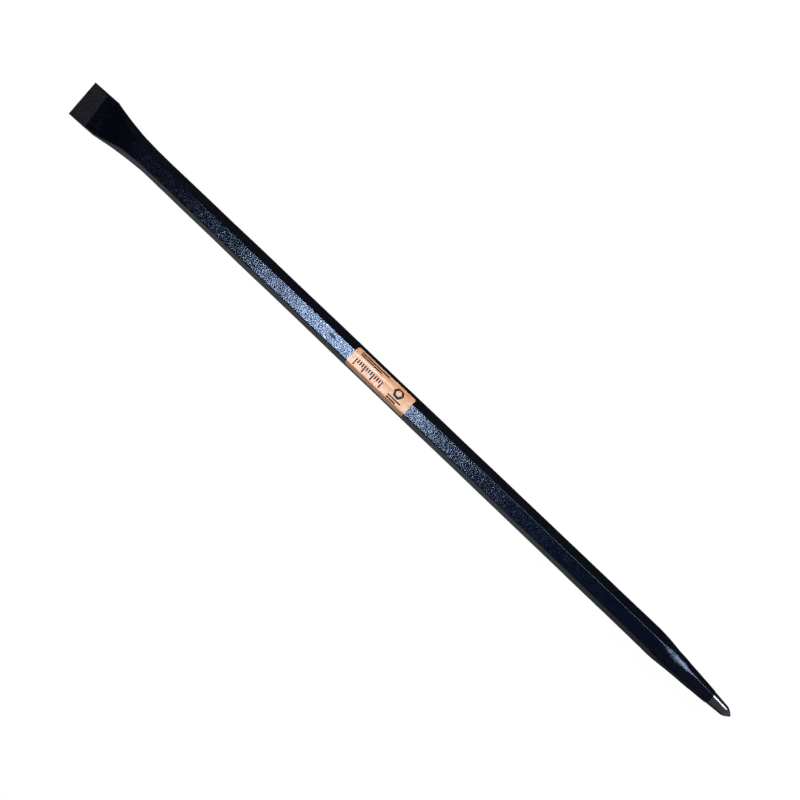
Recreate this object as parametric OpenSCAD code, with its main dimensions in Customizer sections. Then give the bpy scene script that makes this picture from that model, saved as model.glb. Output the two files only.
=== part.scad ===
// Forged digging bar, lying on one of its six flats.
// X runs along the bar from the chisel (-X) to the point (+X), Z is up, and Z = 0 is the surface
// that the bar lies on. Every cross-section is a hexagon with a flat on top.

/* [Shank] */
// Overall length, from the cutting edge to the end of the point
bar_length = 965; // [700:5:1800]
// Size of the steel across the flats
across_flats = 25.4; // [22:0.1:34]
// Width of the narrow flat along each long edge
edge_flat = 0.8; // [0.3:0.1:2]

/* [Chisel] */
// Width of the blade
blade_width = 46.2; // [40:0.1:70]
// Length of the blade's straight sides
blade_length = 37; // [34:1:80]
// Thickness of the blade where the flare begins
blade_root_thickness = 8.4; // [7:0.1:14]
// Thickness of the blade at its end, before the bevel is ground
blade_end_thickness = 6.8; // [4:0.1:7]
// Length over which the shank widens to the blade
flare_length = 72.5; // [50:0.5:140]
// How straight the sides of the flare are, from 0 for a smooth curve to 1 for a plain taper
flare_straightness = 0.25; // [0:0.05:1]
// Length over which the shank thins to the blade
thinning_length = 50; // [40:1:120]
// Length of the ground bevel at the middle of the blade
bevel_length = 24.5; // [14:0.5:30]
// Angle between the bevel's upper line and the cutting edge
bevel_skew = 2.5; // [0:0.5:9]
// Thickness left at the middle of the cutting edge
cutting_edge_thickness = 1.5; // [1:0.1:3]

/* [Point] */
// Length of the tapered point
point_length = 101; // [70:1:200]
// Length of the blunt nose at the end of the point
nose_length = 8; // [4:0.5:16]
// Size across the flats where the nose begins
nose_across_flats = 10.9; // [6:0.1:14]
// Size across the flats at the very end
tip_across_flats = 2.4; // [1:0.1:4]
// Sideways lean of the tip off the bar's centre line
point_lean = -1.5; // [-3:0.1:3]
// Length of the point that is ground bare
ground_length = 28; // [18:0.5:60]
// Width of the flats ground along the edges of the bare point
ground_edge_flat = 2; // [0.8:0.1:2.4]

/* [Paint] */
// Thickness of the paint film
paint_thickness = 0.15; // [0.08:0.01:0.4]

/* [Label] */
// Length of the label along the bar
label_length = 84; // [40:1:160]
// Width of the label, measured round the flats that it wraps
label_width = 32.5; // [26:0.5:40]
// Distance of the label's middle from the middle of the bar, towards the point
label_position = -18.7; // [-120:0.1:120]
// Distance of the label's middle from the middle of the top flat, towards +Y
label_shift = 0; // [-4:0.1:4]
// Radius of the label's corners
label_corner_radius = 3; // [1:0.5:5]
// Thickness of the label
label_thickness = 0.2; // [0.1:0.01:0.4]

/* [Hidden] */

// The faces of a hexagon stand 60 degrees apart, and its edges lie half way between them.
face_step = 60;
edge_step = face_step / 2;

// Places along the bar, measured from the cutting edge
flare_end = blade_length + max(flare_length, thinning_length);
point_start = bar_length - point_length;
ground_start = bar_length - ground_length;
nose_start = bar_length - nose_length;

// Straight pieces that the curves of the flare are drawn with
flare_pieces = 24;
flare_stations = [for (i = [0:flare_pieces]) blade_length + (flare_end - blade_length) * i / flare_pieces];
point_stations = [point_start, nose_start, bar_length];
stations = concat([0], flare_stations, point_stations);

// An edge flat takes at most this share of the face beside it.
edge_share = 0.35;

// Half the shank's size, and the height of the bar's centre line
shank_half = across_flats / 2;
axis_height = shank_half + paint_thickness;

// Half the blade's size across its slanted faces, which meet at the blade's side edges
blade_slant_half = (blade_width / 2 + edge_depth(edge_flat)) * cos(edge_step);

// How far the slanted faces rise from the shank to the blade
flare_rise = blade_slant_half - shank_half;

// Slope of the ground bevel, and how far along the blade the grinding reaches
bevel_rise = blade_half_thickness(bevel_length) - cutting_edge_thickness / 2;
bevel_slope = bevel_rise / bevel_length;
bevel_reach = bevel_length + blade_width / 2 * sin(bevel_skew);

// Length of one flat of the painted shank, and how far the label reaches down each side flat
painted_half = shank_half + paint_thickness;
painted_flat = 2 * painted_half * tan(edge_step);
label_reach_left = (label_width - painted_flat) / 2 + label_shift;
label_reach_right = (label_width - painted_flat) / 2 - label_shift;

// Larger than the bar in every direction that a cut or a layer has to pass through
clear = blade_width + across_flats;

function limit(t) = max(0, min(1, t));
function ease(t) = limit(t) ^ 2 * (3 - 2 * limit(t));
function blend(from, to, t) = from + (to - from) * limit(t);

// Depth that a flat of the given width takes off a hexagon's edge
function edge_depth(width) = width / (2 * tan(face_step));

// Half thickness of the blade at u, before grinding
function blade_half_thickness(u) =
    blend(blade_end_thickness, blade_root_thickness, u / blade_length) / 2;

// Half size of the tapered point and its nose at u
function point_half(u) =
    u < nose_start
        ? blend(shank_half, nose_across_flats / 2, (u - point_start) / (point_length - nose_length))
        : blend(nose_across_flats / 2, tip_across_flats / 2, (u - nose_start) / nose_length);

// Half distance between the top and bottom faces at u
function flat_half(u) =
    u <= blade_length ? blade_half_thickness(u)
    : u <= flare_end
        ? blend(blade_root_thickness / 2, shank_half, ease((u - blade_length) / thinning_length))
        : point_half(u);

// Half distance between a pair of slanted faces at u
function slant_half(u) =
    u <= blade_length ? blade_slant_half
    : u <= flare_end
        ? shank_half + flare_rise * flare_share((blade_length + flare_length - u) / flare_length)
        : point_half(u);

// Share of the flare's rise that is reached at a share t of its length, from the shank
function flare_share(t) = blend(limit(t) ^ 2, limit(t), flare_straightness);

// Half distance between opposite edge flats of the given width, between faces of half sizes p and q
function edge_half(p, q, width) =
    (p + q) / (2 * cos(edge_step)) - edge_depth(min(width, edge_share * 2 * min(p, q) * tan(edge_step)));

// Sideways lean of the bar's centre line at u
function lean(u) = point_lean * limit((u - point_start) / point_length);

// Sections of the edge flats as [u, width]: they widen at once where the point is ground
edge_sections = concat(
    [for (u = stations) if (u < ground_start) [u, edge_flat]],
    [[ground_start, edge_flat], [ground_start, ground_edge_flat]],
    [for (u = stations) if (u > ground_start) [u, ground_edge_flat]]
);

// Half sizes along the bar as [u, half], for a pair of faces or of edges turned by angle
function half_sizes(angle) =
    angle == 0 ? [for (u = stations) [u, flat_half(u)]]
    : abs(angle) == face_step ? [for (u = stations) [u, slant_half(u)]]
    : abs(angle) == edge_step
        ? [for (s = edge_sections) [s[0], edge_half(flat_half(s[0]), slant_half(s[0]), s[1])]]
        : [for (s = edge_sections) [s[0], edge_half(slant_half(s[0]), slant_half(s[0]), s[1])]];

function reversed(list) = [for (i = [len(list) - 1:-1:0]) list[i]];

// Everything between one pair of opposite faces or edges, grown outwards by grow
module layer(angle, grow) {
    sizes = half_sizes(angle);
    above = [for (s = sizes) [s[0] - bar_length / 2, lean(s[0]) * sin(angle) + s[1] + grow]];
    below = [for (s = sizes) [s[0] - bar_length / 2, lean(s[0]) * sin(angle) - s[1] - grow]];
    rotate([90 - angle, 0, 0])
        linear_extrude(height = 2 * clear, center = true)
            polygon(concat(above, reversed(below)));
}

// The forged bar about its own centre line, grown outwards by grow
module forging(grow) {
    intersection() {
        layer(0, grow);
        layer(face_step, grow);
        layer(-face_step, grow);
        layer(edge_step, grow);
        layer(-edge_step, grow);
        layer(90, grow);
    }
}

// What the grinder takes off both faces of the blade
module grinding() {
    outline = [
        [-clear, cutting_edge_thickness / 2 - bevel_slope * clear],
        [bevel_reach, cutting_edge_thickness / 2 + bevel_slope * bevel_reach],
        [bevel_reach, clear],
        [-clear, clear]
    ];
    for (side = [0, 1])
        translate([-bar_length / 2, 0, 0])
            mirror([0, 0, side])
                rotate([90, 0, bevel_skew])
                    linear_extrude(height = 2 * clear, center = true)
                        polygon(outline);
}

module steel_bar() {
    color([0.60, 0.61, 0.63])
        translate([0, 0, axis_height])
            difference() {
                forging(0);
                grinding();
            }
}

module paint_coat() {
    color([0.05, 0.06, 0.09])
        translate([0, 0, axis_height])
            difference() {
                forging(paint_thickness);
                forging(0);
                grinding();
                translate([ground_start - bar_length / 2, -clear, -clear])
                    cube([ground_length + clear, 2 * clear, 2 * clear]);
            }
}

// Place on a face turned by angle: along it from its middle, and out from the bar's centre line
function on_face(angle, along, out) = [
    along * cos(angle) + out * sin(angle),
    out * cos(angle) - along * sin(angle)
];

// Half the width of a shank face between its edge flats, grown outwards by grow
function face_half_width(grow) =
    let (edge_out = edge_half(shank_half, shank_half, edge_flat) + grow)
    (edge_out - (shank_half + grow) * cos(edge_step)) / sin(edge_step);

// Line of the label round the bar at a distance grow outside the steel
function label_line(grow) =
    let (out = shank_half + grow, half_width = face_half_width(grow))
    [
        on_face(face_step, label_reach_left - painted_flat / 2, out),
        on_face(face_step, -half_width, out),
        on_face(0, half_width, out),
        on_face(0, -half_width, out),
        on_face(-face_step, half_width, out),
        on_face(-face_step, painted_flat / 2 - label_reach_right, out)
    ];

// What rounds one corner of the label, with the corner at the origin and the label towards -X and -Y
module corner_waste() {
    difference() {
        translate([-label_corner_radius, -label_corner_radius])
            square(2 * label_corner_radius);
        translate([-label_corner_radius, -label_corner_radius])
            circle(r = label_corner_radius, $fn = 64);
    }
}

// Two waste corners at the label's edge on a side face, which is turned by angle
module corner_pair(angle, along) {
    rotate([-angle, 0, 0])
        translate([label_position, along, painted_half])
            for (end = [0, 1])
                mirror([end, 0, 0])
                    translate([label_length / 2, 0, 0])
                        mirror([0, angle < 0 ? 1 : 0, 0])
                            linear_extrude(height = 4 * label_thickness, center = true)
                                corner_waste();
}

module label() {
    color([0.93, 0.42, 0.13])
        translate([0, 0, axis_height])
            difference() {
                translate([label_position, 0, 0])
                    rotate([90, 0, 90])
                        linear_extrude(height = label_length, center = true)
                            polygon(concat(
                                label_line(paint_thickness + label_thickness),
                                reversed(label_line(paint_thickness))
                            ));
                corner_pair(face_step, label_reach_left - painted_flat / 2);
                corner_pair(-face_step, painted_flat / 2 - label_reach_right);
            }
}

steel_bar();
paint_coat();
label();
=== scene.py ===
"""Looks of a forged digging bar: bare ground steel, black enamel and a wrapped film label.

The bar lies along X with its chisel at -X and its point at +X. Every surface of it is drawn as a
row of six-sided rings, so the steel, the paint on it and the label on the paint share one form.
"""

import math

import bpy
import numpy as np
from mathutils import Matrix, Vector


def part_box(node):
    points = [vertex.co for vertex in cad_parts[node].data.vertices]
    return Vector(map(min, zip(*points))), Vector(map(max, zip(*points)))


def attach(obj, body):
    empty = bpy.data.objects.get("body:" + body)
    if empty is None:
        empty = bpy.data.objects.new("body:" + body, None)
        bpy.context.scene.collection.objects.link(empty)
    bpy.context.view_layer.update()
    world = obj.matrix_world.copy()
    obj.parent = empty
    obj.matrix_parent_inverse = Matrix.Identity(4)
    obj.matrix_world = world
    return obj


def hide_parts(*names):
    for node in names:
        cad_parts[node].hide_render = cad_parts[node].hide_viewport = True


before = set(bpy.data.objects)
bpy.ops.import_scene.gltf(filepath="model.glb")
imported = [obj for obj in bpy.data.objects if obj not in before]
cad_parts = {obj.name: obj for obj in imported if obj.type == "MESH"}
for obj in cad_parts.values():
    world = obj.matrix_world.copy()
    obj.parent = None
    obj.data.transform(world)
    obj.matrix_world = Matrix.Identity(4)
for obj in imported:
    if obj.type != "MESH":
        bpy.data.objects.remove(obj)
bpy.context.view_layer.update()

# A millimetre in metres, and the length that one unit of the label's print map stands for
MM = 0.001
PRINT_UNIT = 0.1

# The bar's six faces stand 60 degrees apart, and its edges lie half way between them.
FACES = 6
FACE_STEP = math.radians(60)
EDGE_STEP = FACE_STEP / 2

# Sizes that the frame gives
steel_low, steel_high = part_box("steel_bar")
paint_low, paint_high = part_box("paint_coat")
label_low, label_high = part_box("label")
bar_length = steel_high.x - steel_low.x
shank_half = (steel_high.z - steel_low.z) / 2
axis_height = (steel_high.z + steel_low.z) / 2
film = steel_low.z - paint_low.z
ground_start = paint_high.x - steel_low.x
label_length = label_high.x - label_low.x
label_middle = (label_high.x + label_low.x) / 2
label_film = label_high.z - paint_high.z

# Sizes of the chisel, the point and the label, close to those of the solids
blade_length = 37 * MM
blade_end_half = 3.4 * MM
blade_root_half = 4.2 * MM
flare_length = 72.5 * MM
flare_straightness = 0.25
thinning_length = 50 * MM
bevel_length = 24.5 * MM
bevel_skew = math.tan(math.radians(2.5))
cutting_skew = math.tan(math.radians(2))
cutting_edge_half = 0.75 * MM
point_length = 101 * MM
nose_length = 8.4 * MM
nose_half = 5.5 * MM
nose_curve = 1.5
tip_half = 1.0 * MM
ground_flat = 1.6 * MM
ground_flat_share = 0.4
label_width = 32.5 * MM
label_corner = 3 * MM

# Rounding of the six forged edges, from the one between the top and +Y faces onwards
edge_rounds = np.array([0.8, 1.2, 1.2, 1.2, 1.2, 1.5]) * MM
blade_edge_round = 0.8 * MM
ground_edge_round = 0.12 * MM
ground_edge_fade = 3 * MM
point_blend = 7 * MM

# Edges that were hammered broad where the point begins: the first one most, and almost flat
hammered_round = 7.5 * MM
hammered_shares = np.array([1.0, 0.3, 0.5, 0.4, 0.3, 0.6])
hammered_centre = bar_length - 81 * MM
hammered_length = 34 * MM
hammered_flatness = 0.76
hammered_spread = 1.6
hammered_past = 1.2 * MM

# The label's film bends over the edge between the top and +Y faces with a radius of its own, and
# stands a little off both faces beside it.
fold_round = 3 * MM
fold_fade = 6 * MM
fold_lift = (fold_round - edge_rounds[0] - film) * (1 - math.cos(EDGE_STEP))

# Place of the painted highlight along the film's fold, in millimetres from the middle of the top face
FOLD_HIGHLIGHT_PLACE = 5.8

# Sideways lean of the forged ends off the centre line, and turn of the point about it
point_turn = math.radians(4)
point_lean = -1.5 * MM
point_lean_lead = 10 * MM
point_lean_curve = 0.6
blade_lean = -1.2 * MM
flare_lean = -0.28 * MM
flare_lean_length = 30 * MM

# Unevenness of the forging as (height, wavelength, seed), and how far it is worked past its ends
long_waves = (0.05 * MM, 90 * MM, 3)
hammer_marks = (0.07 * MM, 17 * MM, 7)
unworked_share = 0.25
worked_fade = 50 * MM
worked_lead = 30 * MM

# Ragged lines that the grinding wheel left, and how far past each line they die out
ragged_depth = 0.25 * MM
ragged_waves = (2.3 * MM, 5.1 * MM)
ragged_phase = 1.0
bevel_line_fade = 9 * MM
ground_line_fade = 14 * MM

# The steel stays this far under the paint, and the label's film this far over it.
steel_inset = 0.02 * MM
label_gap = 0.01 * MM

# What the blade's narrow edge flats take off the half distance of its slanted faces
blade_edge_cut = 0.2 * MM
blade_slant_half = (steel_high.y - steel_low.y) / 2 * math.cos(EDGE_STEP) + blade_edge_cut
point_start = bar_length - point_length
nose_start = bar_length - nose_length
flare_end = blade_length + flare_length

# Dull spots on the enamel as (centre, half sizes, depth), in millimetres: a rub mark on the top
# face beside the label, and the hammered edge
DULL_SPOTS = (
    ((-89.3, 1.5, 25.7), (7.0, 3.2, 6.0), 0.3),
    ((400.0, 5.0, 22.0), (26.0, 7.0, 7.0), 0.1),
)

# Points of a ring: steps round each edge, and places across each face
ARC_STEPS = 6
FACE_SHARES = (0.03, 0.2, 0.4, 0.6, 0.8, 0.97)
RING = FACES * (len(FACE_SHARES) + ARC_STEPS + 1)

# Points of the label: steps along it, across it and round each corner
LABEL_ROWS = 61
LABEL_COLUMNS = 41
LABEL_CORNER_STEPS = 7

# Faces that meet at a larger angle than this are shaded with a sharp edge.
SHARP_ANGLE = math.radians(24)
# Normals that point further down than this belong to the faces near the floor.
DOWNWARD = -0.5
# Smaller than any distance between two stations
CLOSE = 1e-6


def ease(t):
    """Smooth step from 0 to 1."""
    t = np.clip(t, 0, 1)
    return t * t * (3 - 2 * t)


def hump(t):
    """Smooth hump, 1 at 0 and 0 from 1 away."""
    return 1 - ease(np.abs(t))


def ripples(points, wavelength, seed, waves=28):
    """Smooth uneven field over points, about 1 high, with features of the given length."""
    rng = np.random.default_rng(seed)
    directions = rng.normal(size=(waves, 3))
    directions /= np.linalg.norm(directions, axis=1)[:, None]
    lengths = wavelength * rng.uniform(0.7, 1.6, waves)
    phases = rng.uniform(0, 2 * math.pi, waves)
    turns = points @ (2 * math.pi * directions / lengths[:, None]).T
    return np.cos(turns + phases).sum(-1) / math.sqrt(waves / 2)


def flat_half(u):
    """Half distance between the top and bottom faces at u from the cutting edge, before grinding."""
    blade = blade_end_half + (blade_root_half - blade_end_half) * np.clip(u / blade_length, 0, 1)
    thinning = ease((u - blade_length) / thinning_length)
    return np.where(u < flare_end, blade + (shank_half - blade) * thinning, point_half(u))


def slant_half(u):
    """Half distance between a pair of slanted faces at u."""
    t = np.clip((flare_end - u) / flare_length, 0, 1)
    share = t * t + (t - t * t) * flare_straightness
    flare = shank_half + (blade_slant_half - shank_half) * share
    return np.where(u < flare_end, flare, point_half(u))


def point_half(u):
    """Half size of the shank, the point and its nose at u."""
    slope = (shank_half - nose_half) / (point_length - nose_length)
    past = u - point_start
    bend = np.clip(past + point_blend, 0, None) ** 2 / (4 * point_blend)
    taper = shank_half - slope * np.where(past < point_blend, bend, past)
    share = np.clip((u - nose_start) / nose_length, 0, 1) ** nose_curve
    return np.where(u < nose_start, taper, nose_half + (tip_half - nose_half) * share)


def ground_half(u):
    """Half thickness of the blade at u with its bevel ground."""
    bevel_half = flat_half(np.array(bevel_length))
    bevel = cutting_edge_half + (bevel_half - cutting_edge_half) * u / bevel_length
    return np.where(u < bevel_length, bevel, flat_half(u))


def hammered(u):
    """How far the edges at u were hammered broad, from 0 to 1."""
    return hump((u - hammered_centre) / hammered_length)


def corner_rounds(u):
    """Radius of each of the six edges at u; edge 0 lies between the top face and the +Y face."""
    from_blade = ease((u - blade_length) / flare_length)[:, None]
    forged = blade_edge_round + (edge_rounds - blade_edge_round) * from_blade
    past_bevel = ease(1 + (u - bevel_length) / ground_edge_fade)[:, None]
    rounds = ground_edge_round + (forged - ground_edge_round) * past_bevel
    rounds[:, (1, 4)] = forged[:, (1, 4)]
    rounds[:, 0] += hammered_past * ease((u - hammered_centre) / hammered_length)
    return rounds + (hammered_round - edge_rounds) * hammered(u)[:, None] * hammered_shares


def normals_at(angles):
    """Directions across the bar as (y, z), for angles from +Z towards +Y."""
    return np.stack([np.sin(angles), np.cos(angles)], -1)


def sections(u, grow, ground=False):
    """Rings at u, grown by grow.

    Gives the points and their normals as (rings, points, 2), and how near an edge each point of a
    ring is.
    """
    flat, slant = ground_half(u) + grow, slant_half(u) + grow
    halves = np.stack([flat, slant, slant, flat, slant, slant], axis=1)
    rounds = corner_rounds(u) + grow
    flatness = np.zeros(rounds.shape)
    flatness[:, 0] = hammered_flatness * np.minimum(1, hammered_spread * hammered(u))
    if ground:
        bare = (u > ground_start - CLOSE)[:, None]
        ground_rounds = np.minimum(ground_flat, ground_flat_share * halves[:, :1])
        rounds = np.where(bare, ground_rounds, rounds)
        flatness = np.where(bare, 1.0, flatness)
    starts, ends, arcs, arc_normals = [], [], [], []
    shares = np.linspace(0, 1, ARC_STEPS + 1)
    for j in range(FACES):
        a, b = j * FACE_STEP, (j + 1) * FACE_STEP
        p, q = halves[:, j] - rounds[:, j], halves[:, (j + 1) % FACES] - rounds[:, j]
        y = q * math.cos(a) - p * math.cos(b)
        z = p * math.sin(b) - q * math.sin(a)
        centre = np.stack([y, z], -1) / math.sin(FACE_STEP)
        directions = normals_at(a + shares * FACE_STEP)
        arc = centre[:, None] + rounds[:, j, None, None] * directions
        chord = arc[:, :1] + (arc[:, -1:] - arc[:, :1]) * shares[None, :, None]
        arc = arc + (chord - arc) * flatness[:, j, None, None]
        arcs.append(arc)
        arc_normals.append(np.broadcast_to(directions, arc.shape))
        starts.append(arc[:, 0])
        ends.append(arc[:, -1])
    points, normals, near = [], [], []
    for j in range(FACES):
        begin, end = ends[j - 1], starts[j]
        share = np.array(FACE_SHARES)[None, :, None]
        face = begin[:, None] + (end - begin)[:, None] * share
        points += [face, arcs[j]]
        face_normal = normals_at(np.array(j * FACE_STEP))
        normals += [np.broadcast_to(face_normal, face.shape), arc_normals[j]]
        near += [np.zeros(len(FACE_SHARES)), np.sin(math.pi * shares)]
    return np.concatenate(points, 1), np.concatenate(normals, 1), np.concatenate(near)


def shear(u, y):
    """How far each ring's points lie off their station: the ground lines aren't square to the bar."""
    up_bevel = np.clip(u / bevel_length, 0, 1)
    to_bevel = up_bevel * (1 - ease((u - bevel_length) / bevel_line_fade))
    to_ground = hump((u - ground_start) / ground_line_fade)
    short_wave, long_wave = ragged_waves
    ragged = ragged_depth * np.cos(y / short_wave + ragged_phase) * np.cos(y / long_wave)
    skew = cutting_skew * (1 - up_bevel) - bevel_skew * to_bevel
    return y * skew + ragged * (to_bevel + to_ground)


def unevenness(points, u):
    """Height of the forging's own waves and hammer marks, outwards."""
    chisel_end = 1 - ease((u - flare_end) / worked_fade)
    point_end = ease((u - point_start + worked_lead) / worked_fade)
    worked = np.maximum(chisel_end, point_end)
    bare = np.maximum(u < bevel_length, u > ground_start)
    height, wavelength, seed = long_waves
    waves = height * ripples(points, wavelength, seed)
    height, wavelength, seed = hammer_marks
    share = unworked_share + (1 - unworked_share) * worked
    marks = height * ripples(points, wavelength, seed) * share
    return np.where(bare, 0, waves + marks)


def lean(u):
    """Sideways lean of the bar's centre line at u."""
    start = point_start - point_lean_lead
    share = np.clip((u - start) / (bar_length - start), 0, 1)
    to_point = point_lean * share**point_lean_curve
    to_flare = flare_lean * ease((flare_end - u) / flare_lean_length)
    return to_point + to_flare + blade_lean * np.clip(1 - u / blade_length, 0, 1)


def surface(u, grow, ground=False):
    """Surface at stations u: points as (rings, points, 3), and how near an edge each is."""
    flat, normals, near = sections(u, grow, ground)
    turn = (point_turn * ease((u - point_start) / (ground_start - point_start)))[:, None]
    y = flat[..., 0] * np.cos(turn) + flat[..., 1] * np.sin(turn) + lean(u)[:, None]
    z = flat[..., 1] * np.cos(turn) - flat[..., 0] * np.sin(turn)
    along = u[:, None] + shear(u[:, None], y)
    points = np.stack([along + steel_low.x, y, z], -1)
    height = unevenness(points, along)
    height = np.where(normals[..., 1] < DOWNWARD, np.minimum(height, 0), height)
    points[..., 1:] += normals * height[..., None]
    points[..., 2] += axis_height
    return points, np.broadcast_to(near, points.shape[:2])


def stations(stop):
    """Stations along the bar up to stop, close together where the form changes."""
    spans = [
        (0, bevel_length, 14),
        (bevel_length, blade_length, 9),
        (blade_length, flare_end, 50),
        (flare_end, point_start - 2 * point_blend, 150),
        (point_start - 2 * point_blend, ground_start, 62),
        (ground_start, nose_start, 16),
        (nose_start, bar_length, 12),
    ]
    found = [np.linspace(a, b, n, endpoint=False) for a, b, n in spans if a < stop - CLOSE]
    return np.append(np.concatenate(found), stop)


def grid_quads(rings, closed=True, width=RING):
    """Quads between rows of a grid, as (rows, columns, 4) corner numbers."""
    row = np.arange(rings - 1)[:, None]
    column = np.arange(width if closed else width - 1)[None, :]
    after = (column + 1) % width
    here, there = row * width, (row + 1) * width
    corners = [here + column, there + column, there + after, here + after]
    return np.stack(np.broadcast_arrays(*corners), -1)


def shell_faces(quads, count):
    """Faces of a thin closed shell: quads outside, the same inside, and a rim along the border."""
    outer = quads.reshape(-1, 4)
    inner = outer[:, ::-1] + count
    sides = np.concatenate([outer[:, [k, (k + 1) % 4]] for k in range(4)])
    known = {(a, b) for a, b in sides.tolist()}
    rim = [(b, a, a + count, b + count) for a, b in sides.tolist() if (b, a) not in known]
    return np.concatenate([outer, inner, np.array(rim)])


def piece(name, points, faces, material, node, near=None, print_places=None, caps=()):
    """Mesh object in the row frame that stands for a CAD node."""
    used = np.unique(faces)
    renumbered = np.full(len(points), -1)
    renumbered[used] = np.arange(len(used))
    mesh = bpy.data.meshes.new(name)
    polygons = renumbered[faces].tolist() + [renumbered[list(c)].tolist() for c in caps]
    mesh.from_pydata(points[used].tolist(), [], polygons)
    mesh.validate()
    mesh.shade_smooth()
    mesh.set_sharp_from_angle(angle=SHARP_ANGLE)
    if near is not None:
        attribute = mesh.attributes.new("edge", "FLOAT", "POINT")
        attribute.data.foreach_set("value", near[used].astype(np.float32))
    if print_places is not None:
        corners = np.empty(len(mesh.loops), np.int32)
        mesh.loops.foreach_get("vertex_index", corners)
        layer = mesh.uv_layers.new(name="print")
        places = (print_places[used] / PRINT_UNIT)[corners]
        layer.data.foreach_set("uv", places.ravel().astype(np.float32))
    mesh.materials.append(material)
    obj = bpy.data.objects.new(name, mesh)
    bpy.context.scene.collection.objects.link(obj)
    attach(obj, "root")
    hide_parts(node)
    return obj


# Materials


def new_material(name):
    """Empty node material with a principled shader: (material, node tree, shader)."""
    material = bpy.data.materials.new(name)
    material.use_nodes = True
    tree = material.node_tree
    return material, tree, tree.nodes["Principled BSDF"]


def node(tree, kind, **settings):
    """New node; a setting named after an input sets its value, and any other sets a property."""
    made = tree.nodes.new(kind)
    for key, value in settings.items():
        if key in made.inputs:
            made.inputs[key].default_value = value
        else:
            setattr(made, key, value)
    return made


def coordinates(tree, scale=(1, 1, 1)):
    """Object coordinates in millimetres, stretched by scale."""
    source = node(tree, "ShaderNodeTexCoord")
    mapping = node(tree, "ShaderNodeMapping", Scale=tuple(s / MM for s in scale))
    tree.links.new(source.outputs["Object"], mapping.inputs["Vector"])
    return mapping.outputs["Vector"]


def noise(tree, vector, size, detail=2.0, rough=0.5):
    """Noise with features of the given size in millimetres."""
    made = node(tree, "ShaderNodeTexNoise", Scale=1 / size, Detail=detail, Roughness=rough)
    tree.links.new(vector, made.inputs["Vector"])
    return made.outputs["Fac"]


def ramp(tree, value, stops):
    """Colour ramp through (place, colour or grey) stops."""
    made = node(tree, "ShaderNodeValToRGB")
    elements = made.color_ramp.elements
    for _ in stops[2:]:
        elements.new(1.0)
    for element, (place, colour) in zip(elements, stops):
        element.position = place
        grey = isinstance(colour, (int, float))
        element.color = (colour, colour, colour, 1) if grey else (*colour, 1)
    tree.links.new(value, made.inputs["Fac"])
    return made.outputs["Color"]


def math_node(tree, operation, *values, clamp=False):
    """Math node on values, each an output or a number."""
    made = node(tree, "ShaderNodeMath", operation=operation, use_clamp=clamp)
    for socket, value in zip(made.inputs, values):
        if isinstance(value, (int, float)):
            socket.default_value = value
        else:
            tree.links.new(value, socket)
    return made.outputs[0]


def mixed(tree, share, first, second):
    """Colour between first and second by share; each is an output or a colour."""
    made = node(tree, "ShaderNodeMix", data_type="RGBA")
    tree.links.new(share, made.inputs["Factor"])
    for socket, value in ((made.inputs[6], first), (made.inputs[7], second)):
        if isinstance(value, tuple):
            socket.default_value = (*value, 1)
        else:
            tree.links.new(value, socket)
    return made.outputs[2]


def bumped(tree, shader, height, distance, strength=1.0):
    """Bump of the given height on the shader's normal."""
    made = node(tree, "ShaderNodeBump", Distance=distance, Strength=strength)
    tree.links.new(height, made.inputs["Height"])
    tree.links.new(made.outputs["Normal"], shader.inputs["Normal"])


def dull_spot(tree, place, centre, size, depth):
    """Blurred spot round centre with the given half sizes, in millimetres, broken up by noise."""
    mapping = node(tree, "ShaderNodeMapping", vector_type="TEXTURE", Location=centre, Scale=size)
    tree.links.new(place, mapping.inputs["Vector"])
    length = node(tree, "ShaderNodeVectorMath", operation="LENGTH")
    tree.links.new(mapping.outputs["Vector"], length.inputs[0])
    reach = math_node(tree, "MULTIPLY_ADD", noise(tree, place, 2.5), 1.2, length.outputs["Value"])
    return ramp(tree, math_node(tree, "MULTIPLY", reach, 0.5), [(0.5, depth), (0.8, 0.0)])


def enamel():
    """Black enamel over forged steel: grainy, a little blue, rubbed thin in spots along the edges."""
    material, tree, shader = new_material("black_enamel")
    place = coordinates(tree)
    grain = noise(tree, place, 1.5, detail=2.0, rough=0.6)
    patches = noise(tree, place, 26, detail=3.0)
    edge = node(tree, "ShaderNodeAttribute", attribute_name="edge").outputs["Fac"]
    spots = math_node(tree, "MULTIPLY", edge, noise(tree, place, 3.2, detail=4.0, rough=0.65))
    worn = ramp(tree, spots, [(0.6, 0.0), (0.66, 1.0)])
    paint = ramp(tree, patches, [(0.3, (0.0008, 0.0011, 0.0024)), (0.7, (0.0020, 0.0024, 0.0040))])
    tree.links.new(mixed(tree, worn, paint, (0.03, 0.028, 0.026)), shader.inputs["Base Color"])
    dull = worn
    for centre, size, depth in DULL_SPOTS:
        dull = math_node(tree, "MAXIMUM", dull, dull_spot(tree, place, centre, size, depth))
    glints = ramp(tree, noise(tree, place, 1.3, detail=1.0), [(0.47, 0.08), (0.58, 0.28)])
    gloss = math_node(tree, "ADD", glints, dull, clamp=True)
    tree.links.new(gloss, shader.inputs["Roughness"])
    shader.inputs["IOR"].default_value = 1.7
    shader.inputs["Specular Tint"].default_value = (0.47, 0.64, 1.0, 1)
    smooth_edge = math_node(tree, "MULTIPLY_ADD", edge, -0.4, 1.0)
    pimples = math_node(tree, "MULTIPLY", math_node(tree, "SUBTRACT", grain, 0.5), smooth_edge)
    bumped(tree, shader, math_node(tree, "MULTIPLY_ADD", patches, 1.3, pimples), 0.235 * MM)
    return material


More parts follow.
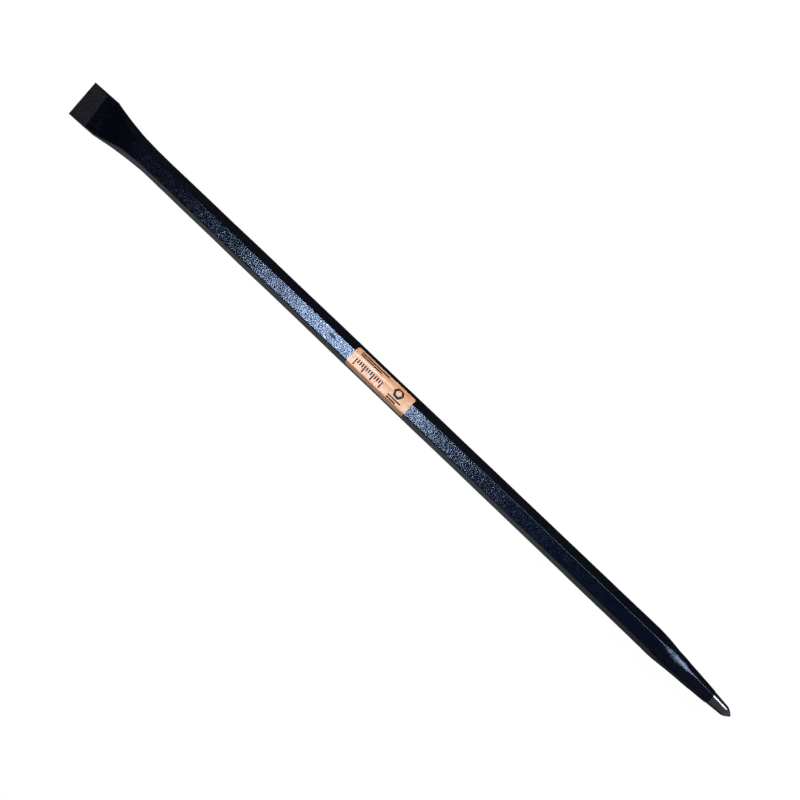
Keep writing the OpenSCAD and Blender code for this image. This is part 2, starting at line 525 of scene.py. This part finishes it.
def ground_steel():
    """Bare steel with fine lines from the grinding wheel, which ran along the bar."""
    material, tree, shader = new_material("ground_steel")
    lines = noise(tree, coordinates(tree, (0.06, 1, 1)), 0.35, detail=4.0, rough=0.7)
    stain = noise(tree, coordinates(tree), 9, detail=3.0)
    colour = ramp(tree, stain, [(0.3, (0.25, 0.25, 0.27)), (0.7, (0.34, 0.34, 0.36))])
    tree.links.new(colour, shader.inputs["Base Color"])
    shader.inputs["Metallic"].default_value = 1.0
    tree.links.new(ramp(tree, lines, [(0.3, 0.22), (0.7, 0.3)]), shader.inputs["Roughness"])
    bumped(tree, shader, lines, 0.004 * MM)
    return material


def stripe(tree, value, low, high):
    """1 where value lies between low and high, else 0."""
    above = math_node(tree, "GREATER_THAN", value, low)
    return math_node(tree, "MULTIPLY", above, math_node(tree, "LESS_THAN", value, high))


def bar_mark(tree, p, q, along, across):
    """Plain printed bar between two places along the label and two places across it."""
    return math_node(tree, "MULTIPLY", stripe(tree, p, *along), stripe(tree, q, *across))


def tick_row(tree, p, q, along, across, spacing, width):
    """Row of plain ticks."""
    step = math_node(tree, "DIVIDE", math_node(tree, "SUBTRACT", p, along[0]), spacing)
    on_tick = math_node(tree, "LESS_THAN", math_node(tree, "FRACT", step), width / spacing)
    return math_node(tree, "MULTIPLY", on_tick, bar_mark(tree, p, q, along, across))


def hexagon_ring(tree, p, q, centre, inner, outer):
    """Ring of hexagonal outline, its sizes measured to the flats."""
    x = math_node(tree, "ABSOLUTE", math_node(tree, "SUBTRACT", p, centre[0]))
    y = math_node(tree, "ABSOLUTE", math_node(tree, "SUBTRACT", q, centre[1]))
    slant = math_node(tree, "MULTIPLY_ADD", x, math.cos(EDGE_STEP), math_node(tree, "MULTIPLY", y, 0.5))
    return stripe(tree, math_node(tree, "MAXIMUM", y, slant), inner, outer)


def label_print():
    """Satin orange film with plain marks: a scale, rules and the outline of a hexagonal bar; a
    near-white line painted along its fold stands for the fold's highlight.
    """
    material, tree, shader = new_material("label_print")
    places = node(tree, "ShaderNodeUVMap", uv_map="print").outputs["UV"]
    parts = node(tree, "ShaderNodeSeparateXYZ")
    tree.links.new(places, parts.inputs[0])
    p = math_node(tree, "MULTIPLY", parts.outputs["X"], PRINT_UNIT / MM)
    q = math_node(tree, "MULTIPLY", parts.outputs["Y"], PRINT_UNIT / MM)
    marks = [
        bar_mark(tree, p, q, (7, 47), (11.3, 13.8)),
        bar_mark(tree, p, q, (7, 38), (7.9, 9.7)),
        tick_row(tree, p, q, (7, 47), (-1.5, 3.0), 3.1, 1.6),
        tick_row(tree, p, q, (7, 47), (-5.5, 3.0), 12.4, 1.6),
        hexagon_ring(tree, p, q, (66, 5.5), 3.2, 5.8),
        bar_mark(tree, p, q, (57, 75), (-3.4, -1.7)),
        bar_mark(tree, p, q, (57, 70), (-6.2, -4.5)),
    ]
    printed = marks[0]
    for mark in marks[1:]:
        printed = math_node(tree, "MAXIMUM", printed, mark)
    crinkle = noise(tree, coordinates(tree), 9, detail=2.0)
    shades = [(0.3, (0.87, 0.42, 0.2)), (0.5, (0.92, 0.48, 0.27)), (0.7, (0.97, 0.6, 0.42))]
    tone = ramp(tree, crinkle, shades)
    # A near-white line painted along the fold is a painted highlight of the fold. It is broken up by
    # the crinkle noise and fades out towards the point end.
    bend = math_node(tree, "ABSOLUTE", math_node(tree, "SUBTRACT", q, FOLD_HIGHLIGHT_PLACE))
    painted_fold_highlight = math_node(tree, "MULTIPLY", math_node(tree, "LESS_THAN", bend, 0.6), crinkle)
    along = math_node(tree, "MULTIPLY", p, 0.01)
    faded = ramp(tree, along, [(0.5, 1.9), (0.68, 0.0)])
    painted_fold_highlight = math_node(tree, "MULTIPLY", painted_fold_highlight, faded, clamp=True)
    # The unprinted film's colour, with the painted fold highlight mixed in
    bare = mixed(tree, painted_fold_highlight, tone, (1.0, 0.9, 0.82))
    tree.links.new(mixed(tree, printed, bare, (0.012, 0.007, 0.006)), shader.inputs["Base Color"])
    tree.links.new(ramp(tree, printed, [(0.0, 0.325), (1.0, 0.6)]), shader.inputs["Roughness"])
    shader.inputs["IOR"].default_value = 1.5
    bumped(tree, shader, crinkle, 0.25 * MM)
    return material


# Pieces


def build_steel(material):
    """The bare forging, closed at the cutting edge and at the tip."""
    u = stations(bar_length)
    points, _ = surface(u, -steel_inset, ground=True)
    rings = len(u)
    quads = grid_quads(rings).reshape(-1, 4)
    last = (rings - 1) * RING
    caps = [list(range(RING)), list(range(last, last + RING))[::-1]]
    return piece("steel_bar_ground", points.reshape(-1, 3), quads, material,
                 "steel_bar", caps=caps)


def build_paint(material):
    """The paint film, which stops at the ground bevel and at the ground point."""
    u = stations(ground_start)
    outside, near = surface(u, film)
    inside, _ = surface(u, 0)
    quads = grid_quads(len(u))
    keep = np.ones(quads.shape[:2], bool)
    run = len(FACE_SHARES) + ARC_STEPS + 1
    column = np.arange(RING)
    face, step = column // run, column % run
    on_side = np.isin(face, (1, 4)) | (np.isin(face, (2, 5)) & (step < len(FACE_SHARES) - 1))
    keep[: int(np.searchsorted(u, bevel_length - CLOSE))] = on_side
    points = np.concatenate([outside.reshape(-1, 3), inside.reshape(-1, 3)])
    faces = shell_faces(quads[keep], outside.shape[0] * RING)
    near = np.concatenate([near.reshape(-1), near.reshape(-1)])
    return piece("paint_enamel", points, faces, material, "paint_coat", near=near)


def label_wrap(q):
    """Place across the bar and normal at a distance q round the label from the middle of the top."""
    lift = np.where(q > 0, fold_lift, 0)
    half = shank_half + film + lift
    radius = np.where(q > 0, fold_round, edge_rounds[-1] + film)
    flat = (half - radius) * math.tan(EDGE_STEP)
    arc = radius * FACE_STEP
    side = np.sign(q)
    past = np.abs(q) - flat
    angle = np.clip(past / radius, 0, FACE_STEP)
    down = np.clip(past - arc, 0, None)
    normal = normals_at(angle)
    tangent = np.stack([np.cos(angle), -np.sin(angle)], -1)
    start = np.minimum(np.abs(q), flat)
    centre = np.stack([start, half - radius], -1)
    stuck = 1 - ease(1 + past / flat) * (1 - ease(down / fold_fade))
    out = radius - lift * stuck
    place = centre + out[..., None] * normal + down[..., None] * tangent
    place[..., 0] *= side
    normal[..., 0] *= side
    return place, normal


def build_label(material):
    """The film label, folded over the top face and part of both side faces, with rounded corners."""
    trim = 2 * (edge_rounds[-1] + film) * (math.tan(EDGE_STEP) - EDGE_STEP)
    fold_trim = 2 * ((fold_round - fold_lift) * math.tan(EDGE_STEP) - fold_round * EDGE_STEP)
    low, high = trim - label_width / 2, label_width / 2 - fold_trim
    turn = label_corner * (1 - np.cos(np.linspace(0, math.pi / 2, LABEL_CORNER_STEPS)))
    middle = np.linspace(low + label_corner, high - label_corner, LABEL_COLUMNS)[1:-1]
    q = np.concatenate([low + turn, middle, high - turn[::-1]])
    from_edge = np.minimum(np.minimum(q - low, high - q), label_corner)
    kept = np.sqrt(np.clip(label_corner**2 - (label_corner - from_edge) ** 2, 0, None))
    reach = label_length / 2 - (label_corner - kept)
    share = np.linspace(-1, 1, LABEL_ROWS)
    x = label_middle + share[:, None] * reach[None, :]
    wrap = np.broadcast_to(q, x.shape)
    layers = []
    for over_paint in (label_film, label_gap):
        place, normal = label_wrap(wrap)
        points = np.concatenate([x[..., None], place], -1)
        height = unevenness(points, x - steel_low.x) + over_paint
        points[..., 1:] += normal * height[..., None]
        points[..., 2] += axis_height
        layers.append(points.reshape(-1, 3))
    quads = grid_quads(len(share), closed=False, width=len(q))
    faces = shell_faces(quads, len(share) * len(q))
    places = np.stack([x - label_low.x, wrap], -1).reshape(-1, 2)
    return piece("label_wrap", np.concatenate(layers), faces, material, "label",
                 print_places=np.concatenate([places, places]))


# Stage

LIGHT_COLOUR = (1.0, 0.99, 0.96)
LIGHT_AIM_HEIGHT = 0.02


def aim(obj, target, roll=0.0):
    """Turns obj to look at target, with +X along the picture's width, and then rolls it."""
    back = (obj.location - target).normalized()
    along = (Vector((1, 0, 0)) - back * back.x).normalized()
    up = back.cross(along)
    right = along * math.cos(roll) + up * math.sin(roll)
    over = up * math.cos(roll) - along * math.sin(roll)
    turn = Matrix((right, over, back)).transposed()
    obj.rotation_euler = turn.to_euler()


def add_camera():
    """Camera about a metre above the bar, a little towards its point and towards +Y."""
    place = (93.9 * MM, 150.6 * MM, 1.0)
    target = Vector((9.45 * MM, -0.45 * MM, axis_height))
    roll = math.radians(43.642)
    data = bpy.data.cameras.new("camera")
    data.sensor_width = 36
    data.lens = 41.98
    data.clip_end = 50
    camera = bpy.data.objects.new("camera", data)
    bpy.context.scene.collection.objects.link(camera)
    camera.location = place
    aim(camera, target, roll)
    bpy.context.scene.camera = camera


def add_light(name, place, target_x, size, power):
    """Soft rectangular light at place, facing the bar's axis at target_x."""
    data = bpy.data.lights.new(name, "AREA")
    data.shape = "RECTANGLE"
    data.size, data.size_y = size
    data.energy = power
    data.color = LIGHT_COLOUR
    light = bpy.data.objects.new(name, data)
    bpy.context.scene.collection.objects.link(light)
    light.location = place
    aim(light, Vector((target_x, 0, LIGHT_AIM_HEIGHT)))
    light.visible_camera = False
    return light


def staged(name, points, faces, material):
    """Mesh of the studio, which the camera sees and the bar doesn't mirror."""
    mesh = bpy.data.meshes.new(name)
    mesh.from_pydata(points, [], faces)
    mesh.materials.append(material)
    made = bpy.data.objects.new(name, mesh)
    bpy.context.scene.collection.objects.link(made)
    made.visible_glossy = False
    made.visible_diffuse = False
    return made


def add_floor():
    """Pale floor under the bar, and a pale wall round it."""
    material, _, shader = new_material("floor")
    shader.inputs["Base Color"].default_value = (0.08, 0.08, 0.08, 1)
    shader.inputs["Roughness"].default_value = 0.9
    shader.inputs["Emission Color"].default_value = (1, 1, 1, 1)
    shader.inputs["Emission Strength"].default_value = 0.96
    reach, height, parts = 4.0, 4.0, 72
    corners = [(-reach, -reach, 0), (reach, -reach, 0), (reach, reach, 0), (-reach, reach, 0)]
    staged("floor", corners, [(0, 1, 2, 3)], material)
    turns = [2 * math.pi * k / parts for k in range(parts)]
    ring = [(reach * math.cos(t), reach * math.sin(t), z) for z in (0, height) for t in turns]
    faces = [(k, k + parts, (k + 1) % parts + parts, (k + 1) % parts) for k in range(parts)]
    staged("wall", ring, faces, material).visible_shadow = False


def add_world():
    """Dim studio round the bar: cool overhead, dark towards +Y and grey towards -Y."""
    world = bpy.data.worlds.new("studio")
    bpy.context.scene.world = world
    world.use_nodes = True
    tree = world.node_tree
    direction = node(tree, "ShaderNodeTexCoord").outputs["Generated"]
    parts = node(tree, "ShaderNodeSeparateXYZ")
    tree.links.new(direction, parts.inputs[0])
    across = math_node(tree, "MULTIPLY_ADD", parts.outputs["Y"], 0.5, 0.5)
    along = math_node(tree, "MULTIPLY_ADD", parts.outputs["X"], 0.5, 0.5)
    fade = ramp(tree, along, [(0.555, 1.0), (0.575, 0.86), (0.607, 0.54), (0.64, 0.33), (0.695, 0.07)])
    sides = mixed(tree, fade, (0.02, 0.02, 0.02), ramp(tree, across, [(0.1, 0.26), (0.9, 0.075)]))
    overhead = [(0.74, (0.025, 0.025, 0.034)), (0.87, (0.006, 0.006, 0.009)),
                (0.93, (0.035, 0.055, 0.11)), (0.97, (0.05, 0.085, 0.19))]
    past_point = ramp(tree, along, [(0.715, 0.0), (0.755, 1.0)])
    sky = mixed(tree, past_point, ramp(tree, parts.outputs["Z"], overhead), (0.15, 0.15, 0.18))
    height = math_node(tree, "MULTIPLY_ADD", parts.outputs["Z"], 0.5, 0.5)
    colour = mixed(tree, ramp(tree, height, [(0.25, 0.0), (0.375, 1.0)]), sides, sky)
    tree.links.new(colour, tree.nodes["Background"].inputs["Color"])


def main():
    """Builds the pieces and the studio round them."""
    build_steel(ground_steel())
    build_paint(enamel())
    build_label(label_print())
    add_camera()
    add_floor()
    add_world()
    add_light("window", (-0.3, -0.232, 1.53), -0.06, (0.2, 0.2), 9.6)
    add_light("strip", (0.595, 1.02, 0.65), 0.595, (1.15, 0.27), 11.1)
    panel = add_light("panel", (0.0, -1.1, 0.95), 0.0, (1.5, 0.45), 1.2)
    panel.visible_diffuse = False
    fill = add_light("fill", (0.1, 0.9, 0.9), 0.0, (0.8, 0.5), 2.6)
    fill.visible_glossy = False
    bpy.context.scene.view_settings.view_transform = "Standard"


main()
